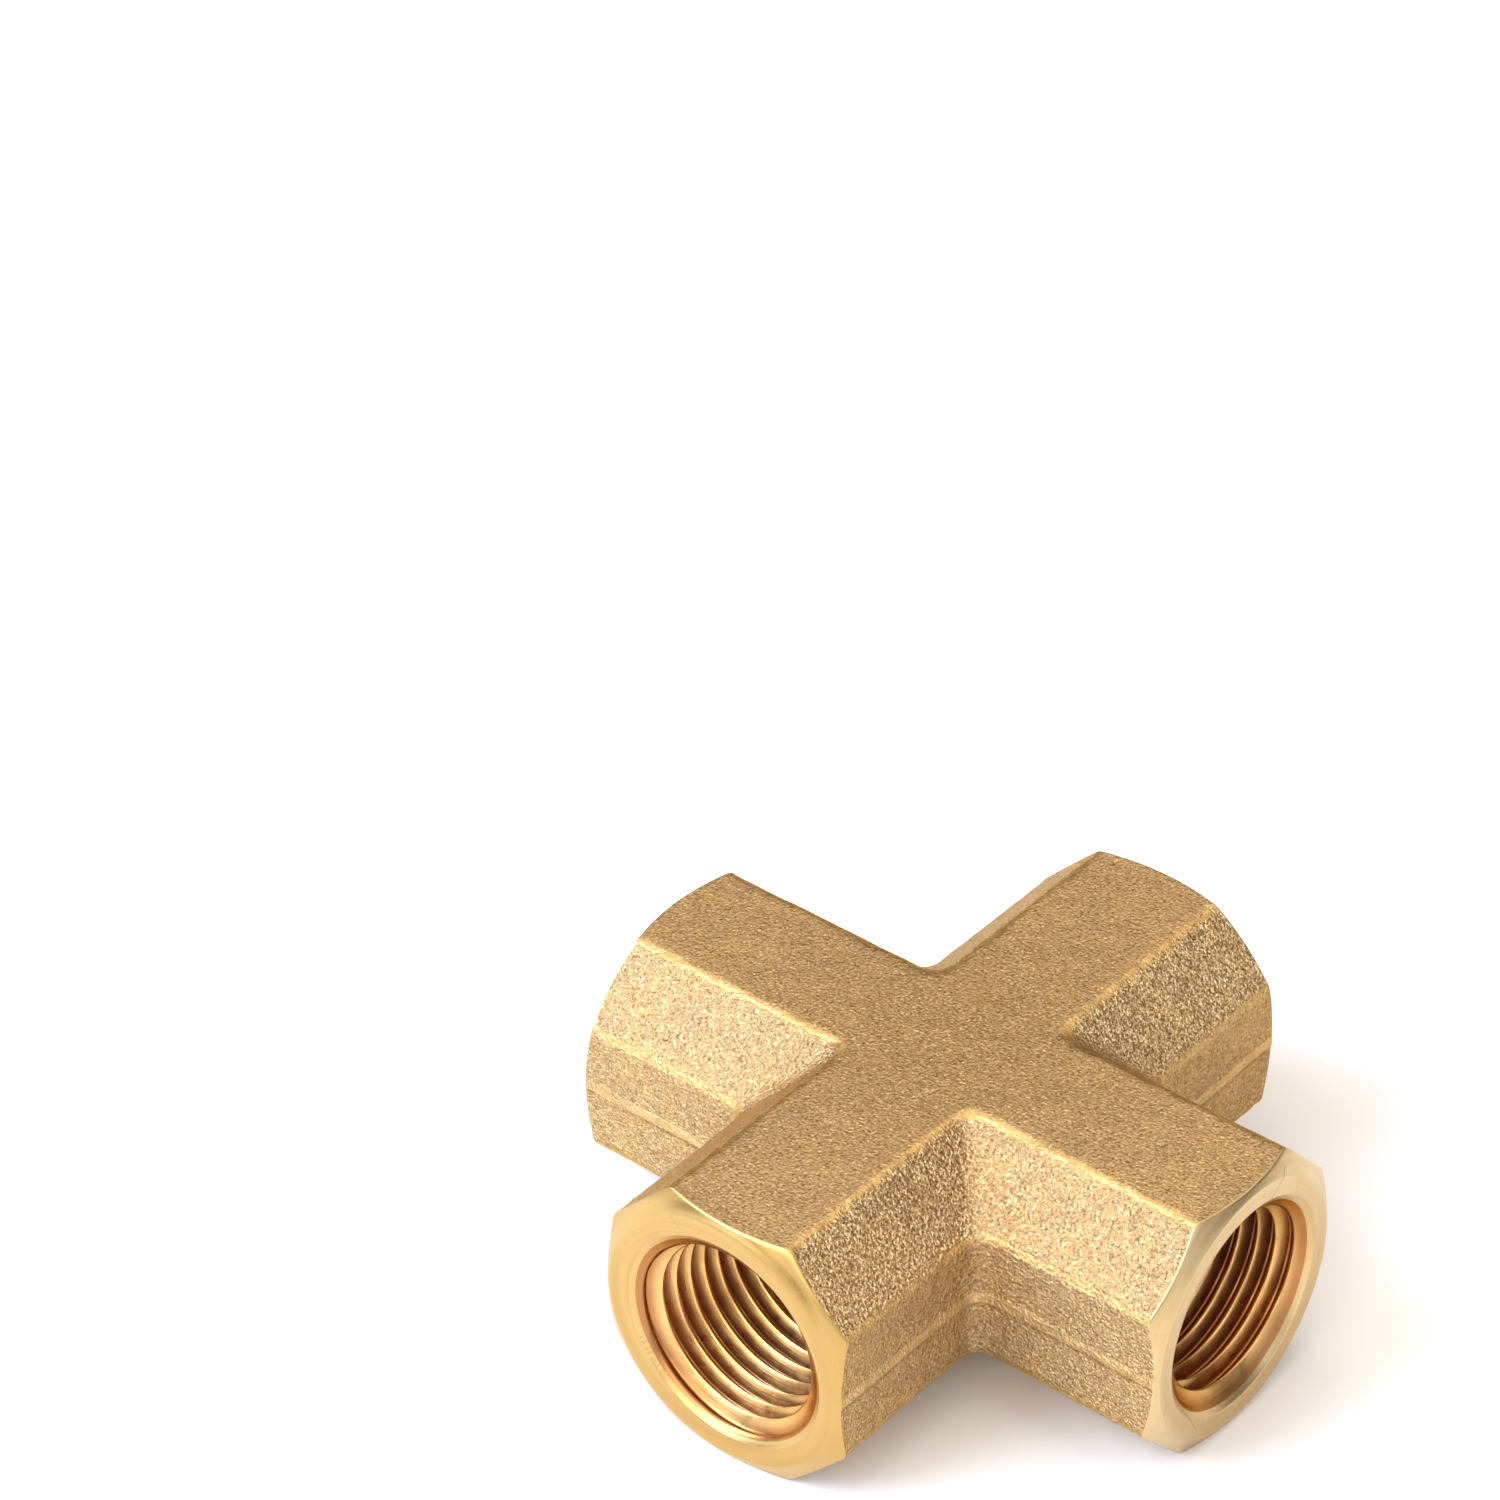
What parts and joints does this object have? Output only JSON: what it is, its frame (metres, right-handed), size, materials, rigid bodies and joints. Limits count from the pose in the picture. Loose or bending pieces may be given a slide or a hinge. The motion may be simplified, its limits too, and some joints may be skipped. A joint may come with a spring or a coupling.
{
  "type": "cross pipe fitting",
  "caption": "Forged brass four-way cross fitting with a female taper pipe thread in each end, joining four pipes at right angles in one plane.",
  "frame": {"origin": "the point where the two bore axes cross, which is the centre of the fitting's box", "axes": "+X and +Y out along two neighbouring ports' bore axes, +Z square to both, up from the flat that it rests on"},
  "size_m": [0.033, 0.033, 0.0136],
  "materials": {
    "forged_brass": "fine shot-blasted forged skin, with bright turned end faces, countersinks and cut threads"
  },
  "bodies": {
    "root": {"cross_body": "forged_brass"}
  },
  "joints": []
}
